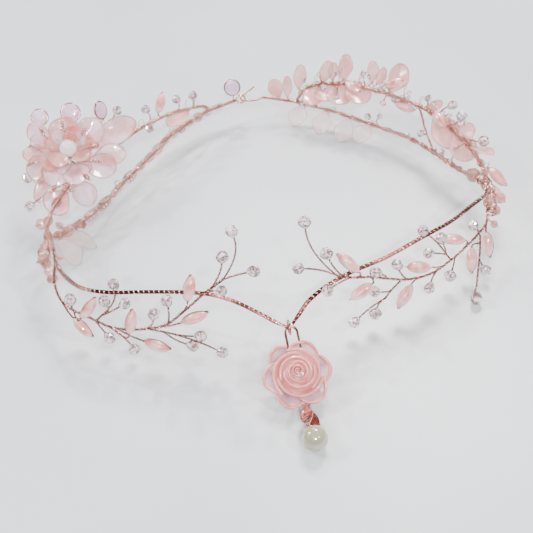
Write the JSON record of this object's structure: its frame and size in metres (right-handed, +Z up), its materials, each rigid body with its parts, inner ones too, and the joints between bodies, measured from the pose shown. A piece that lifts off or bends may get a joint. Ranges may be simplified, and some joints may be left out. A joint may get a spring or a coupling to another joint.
{
  "type": "flower crown",
  "caption": "Wire-wrapped flower crown with a peaked band, beaded sprigs, a resin flower, and a hanging rose and pearl pendant.",
  "frame": {"origin": "middle of the head opening, on the plane the crown stands on", "axes": "+Z up through the head opening, -Y towards the forehead peak and its pendant, +X the wearer's left"},
  "size_m": [0.1879, 0.1984, 0.044],
  "materials": {
    "rose_gold_wire": "bright, rose-gold plated",
    "clear_crystal": "faceted, polished",
    "peach_crystal": "faceted, polished",
    "pink_rice_pearl": "pearl lustre",
    "petal_resin": "translucent, pearl lustre",
    "heart_resin": "translucent, pearl lustre",
    "rose_petal_resin": "translucent, pearl lustre",
    "rose_resin": "pearl lustre",
    "moonstone": "milky, polished",
    "ivory_pearl": "pearl lustre",
    "white_pearl": "pearl lustre"
  },
  "bodies": {
    "crown": {"front_band_left": "rose_gold_wire", "front_band_right": "rose_gold_wire", "lower_back_wire_left": "rose_gold_wire", "lower_back_wire_right": "rose_gold_wire", "upper_back_wire_left": "rose_gold_wire", "upper_back_wire_right": "rose_gold_wire", "back_strut": "rose_gold_wire", "clasp_eye": "rose_gold_wire", "clasp_hook": "rose_gold_wire", "left_sprig_stems": "rose_gold_wire", "left_sprig_twigs": "rose_gold_wire", "left_sprig_crystals": "clear_crystal", "left_sprig_rice_pearls": "pink_rice_pearl", "right_sprig_stems": "rose_gold_wire", "right_sprig_twigs": "rose_gold_wire", "right_sprig_crystals": "clear_crystal", "right_sprig_rice_pearls": "pink_rice_pearl", "hanging_drop": "clear_crystal", "left_corner_beads": "peach_crystal", "right_corner_beads": "peach_crystal", "wrapped_knot": "rose_gold_wire", "back_twigs_left": "rose_gold_wire", "back_twigs_right": "rose_gold_wire", "back_crystals_left": "clear_crystal", "back_crystals_right": "clear_crystal", "back_rice_pearls": "pink_rice_pearl", "band_seed_beads": "clear_crystal", "flower_petals": "petal_resin", "flower_heart": "heart_resin", "flower_pearl": "white_pearl", "moonstone_discs": "moonstone", "disc_rims": "rose_gold_wire", "spray_petals": "petal_resin", "corner_petals": "petal_resin", "band_petals": "petal_resin"},
    "jump_ring": {"jump_ring": "rose_gold_wire"},
    "rose": {"rose_petals": "rose_petal_resin", "rose_core": "rose_resin", "rose_loop": "rose_gold_wire", "rose_eye": "rose_gold_wire"},
    "bail": {"drop_bail": "rose_gold_wire", "drop_pin": "rose_gold_wire"},
    "pearl": {"pearl_drop": "ivory_pearl"}
  },
  "joints": [
    {"name": "ring_swing", "type": "hinge", "parent": "crown", "child": "jump_ring", "pos_m": [-0.004, -0.088, 0.014], "axis": [1, 0, 0], "range_deg": [-30, 75]},
    {"name": "rose_swing", "type": "hinge", "parent": "jump_ring", "child": "rose", "pos_m": [-0.004, -0.08881, 0.01543], "axis": [1, 0, 0], "range_deg": [-20, 25]},
    {"name": "bail_swing", "type": "hinge", "parent": "rose", "child": "bail", "pos_m": [-0.004, -0.11268, 0.00346], "axis": [1, 0, 0], "range_deg": [-20, 25]},
    {"name": "pearl_swing", "type": "hinge", "parent": "bail", "child": "pearl", "pos_m": [-0.004, -0.12147, 0.00385], "axis": [-0.4226, 0.0404, 0.9054], "range_deg": [-20, 20]}
  ]
}
